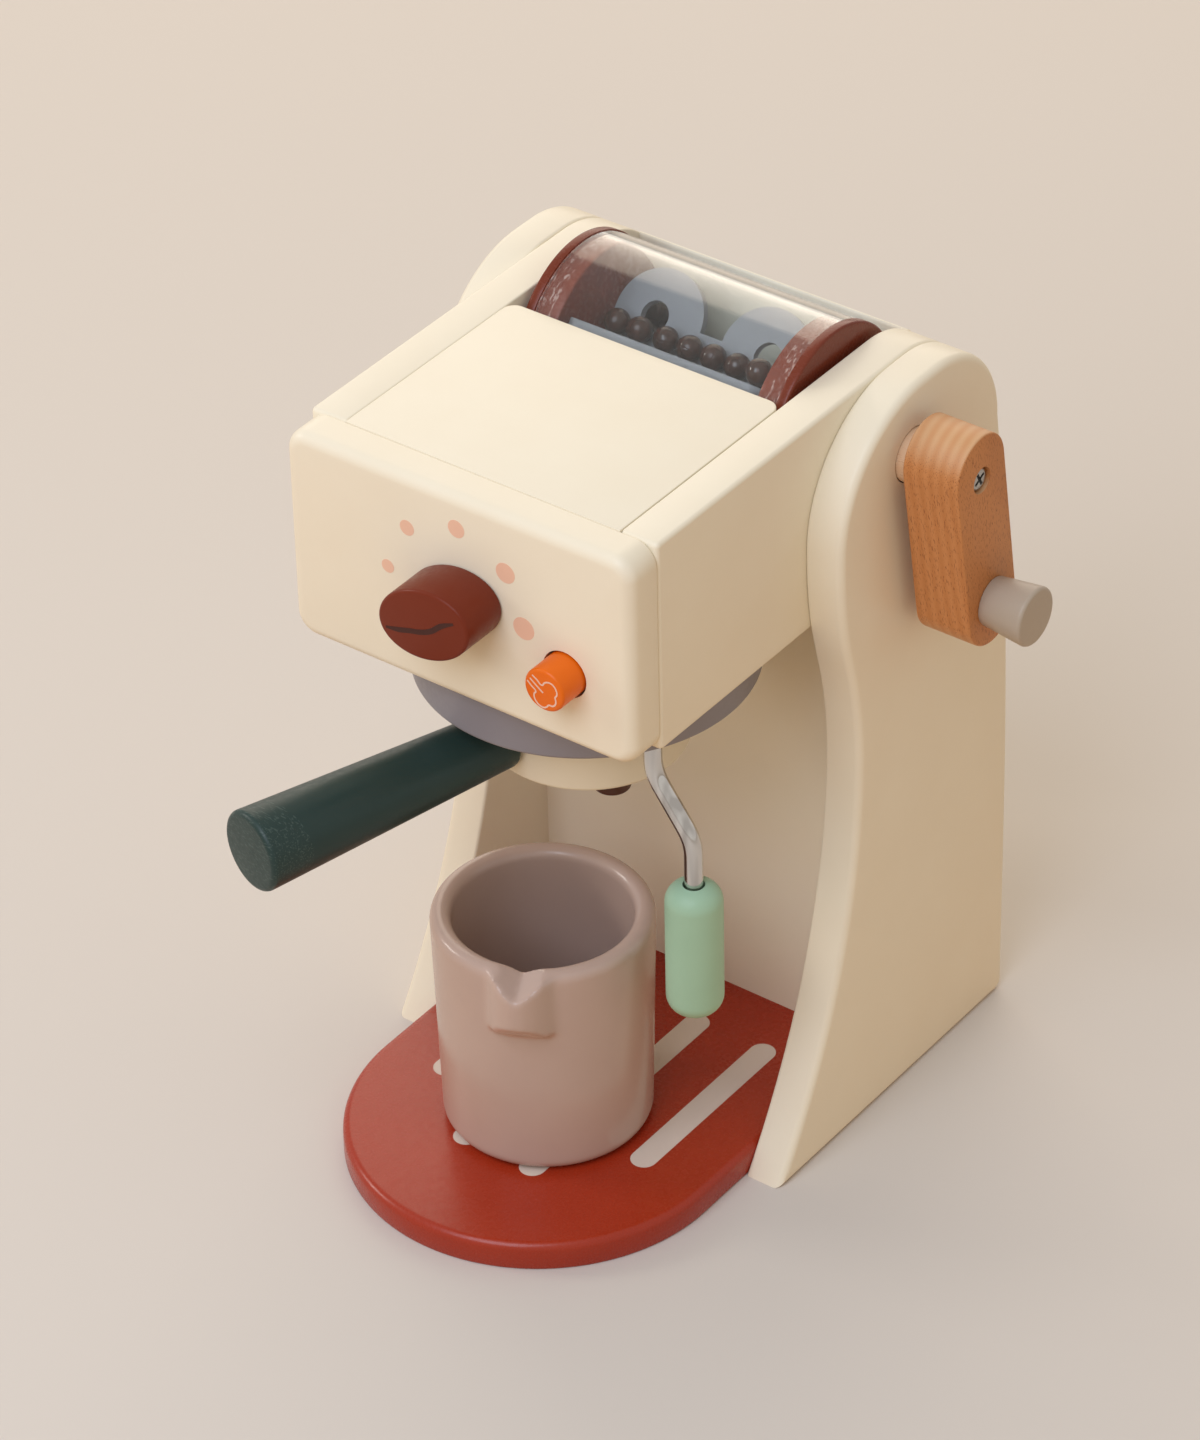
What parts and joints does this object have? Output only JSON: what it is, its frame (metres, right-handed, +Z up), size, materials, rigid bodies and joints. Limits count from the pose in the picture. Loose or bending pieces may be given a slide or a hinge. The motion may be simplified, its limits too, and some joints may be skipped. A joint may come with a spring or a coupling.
{
  "type": "toy_coffee_maker",
  "caption": "Wooden play espresso machine in cream and red with crank-turned bean drum, bean-shaped dial, steam button, portafilter, swivelling steam wand and a pouring jug",
  "frame": {"origin": "on the table, on the machine's middle plane, level with the front toes of the side panels", "axes": "+X to the crank side, +Y to the back, +Z up"},
  "size_m": [0.1778, 0.2232, 0.25],
  "materials": {
    "cream_paint": "satin cream lacquer on wood",
    "red_paint": "satin brick red lacquer on wood",
    "brown_paint": "satin red-brown lacquer on wood",
    "dark_brown_paint": "satin dark brown lacquer on wood",
    "grey_paint": "satin warm grey lacquer on wood",
    "green_paint": "satin dark green lacquer on wood",
    "greige_paint": "satin greige lacquer on wood",
    "jug_paint": "satin pinkish greige lacquer on wood",
    "mint_paint": "satin mint green lacquer on wood",
    "orange_paint": "satin orange lacquer on wood",
    "beech": "oiled beech with fine dark flecks",
    "bare_wood": "bare turned birch",
    "clear_plastic": "clear polished acrylic",
    "frosted_plastic": "frosted translucent acrylic sheet",
    "bean_plastic": "glossy dark brown beads",
    "washer_plastic": "natural nylon",
    "steel": "zinc-plated steel",
    "chrome_plate": "polished chrome plate"
  },
  "bodies": {
    "housing": {"base_board": "red_paint", "side_panel_left": "cream_paint", "side_panel_right": "cream_paint", "inner_wall": "cream_paint", "back_panel": "cream_paint", "base_dowels": "bare_wood", "head_front_panel": "cream_paint", "head_side_left": "cream_paint", "head_side_right": "cream_paint", "head_top_panel": "cream_paint", "head_floor_panel": "cream_paint", "front_dowels": "bare_wood", "spring_block": "bare_wood", "group_disc": "grey_paint", "group_screws": "steel", "group_magnet": "steel"},
    "drum": {"drum_disc_left": "brown_paint", "drum_disc_right": "brown_paint", "drum_tube": "clear_plastic", "paddle_plain": "frosted_plastic", "paddle_lobed": "frosted_plastic", "coffee_beans": "bean_plastic", "drum_stub_axle": "bare_wood", "crank_axle": "bare_wood", "axle_washers": "washer_plastic", "crank_arm": "beech", "crank_screw": "steel", "crank_knob": "greige_paint"},
    "dial": {"bean_dial": "brown_paint", "dial_spindle": "bare_wood", "dial_washer": "washer_plastic", "dial_screw": "steel"},
    "button": {"steam_button": "orange_paint", "button_collar": "washer_plastic", "button_spring": "steel"},
    "magnet_carrier": {"portafilter_magnet": "steel"},
    "portafilter": {"portafilter_head": "cream_paint", "portafilter_handle": "green_paint", "portafilter_spouts": "dark_brown_paint"},
    "steam_wand": {"wand_rod": "chrome_plate", "wand_collar": "steel", "wand_grip": "mint_paint"},
    "jug": {"milk_jug": "jug_paint"}
  },
  "joints": [
    {"name": "crank_turn", "type": "hinge", "parent": "housing", "child": "drum", "pos_m": [0, 0.0633, 0.2202], "axis": [1, 0, 0], "continuous": true},
    {"name": "dial_turn", "type": "hinge", "parent": "housing", "child": "dial", "pos_m": [0, -0.05, 0.2084], "axis": [0, -1, 0], "continuous": true},
    {"name": "button_press", "type": "slide", "parent": "housing", "child": "button", "axis": [0, 1, 0], "range_m": [0, 0.006], "stiffness_N_per_m": 150, "springref_m": -0.002, "deforming": ["button_spring"]},
    {"name": "portafilter_drop", "type": "slide", "parent": "housing", "child": "magnet_carrier", "axis": [0, 0, -1], "range_m": [0, 0.03]},
    {"name": "portafilter_twist", "type": "hinge", "parent": "magnet_carrier", "child": "portafilter", "pos_m": [0, 0.0065, 0.155], "axis": [0, 0, 1], "range_deg": [-50, 45]},
    {"name": "wand_swivel", "type": "hinge", "parent": "housing", "child": "steam_wand", "pos_m": [0.036, -0.012, 0.17], "axis": [0, 0, 1], "range_deg": [-60, 60]},
    {"name": "jug_slide", "type": "slide", "parent": "housing", "child": "jug", "axis": [0, -1, 0], "range_m": [0, 0.03]}
  ]
}
